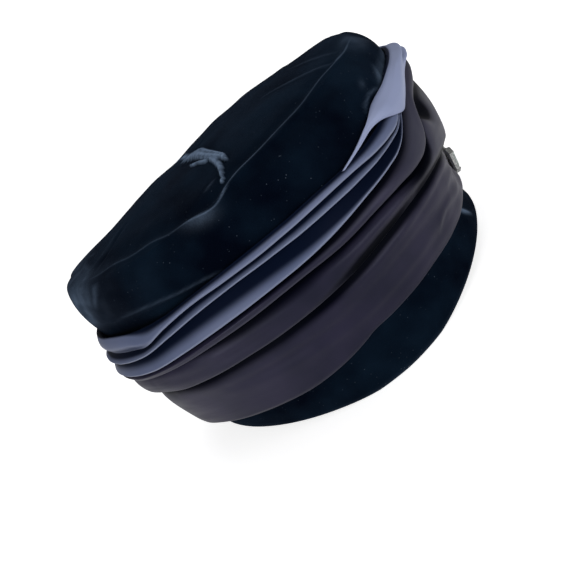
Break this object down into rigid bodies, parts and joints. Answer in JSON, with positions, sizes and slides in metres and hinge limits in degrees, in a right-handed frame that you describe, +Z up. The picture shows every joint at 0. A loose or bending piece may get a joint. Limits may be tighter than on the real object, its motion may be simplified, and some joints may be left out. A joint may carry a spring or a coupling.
{
  "type": "turban hat",
  "caption": "Draped turban hat: puffed dark velvet crown, two tones of satin wound in folds, velvet cuff, satin tab at the front and a small clear stone brooch.",
  "frame": {"origin": "on the ground, under the middle of the hat's bounding box", "axes": "+Z up, -Y towards the front of the hat where the brooch is, -X towards the wearer's right"},
  "size_m": [0.2136, 0.2538, 0.1512],
  "materials": {
    "velvet": "deep navy silk velvet with a short soft pile",
    "plum_satin": "dark plum satin with a soft sheen",
    "slate_satin": "slate blue satin with a soft sheen",
    "tab_satin": "light lavender blue satin",
    "pale_metal": "pale plated metal, softly worn",
    "crystal": "clear step-cut glass stone"
  },
  "bodies": {
    "root": {"velvet_cuff": "velvet", "velvet_crown": "velvet", "satin_drape_lower": "plum_satin", "satin_drape_upper": "slate_satin", "satin_tab": "tab_satin", "brooch_setting": "pale_metal", "brooch_stone": "crystal"}
  },
  "joints": []
}
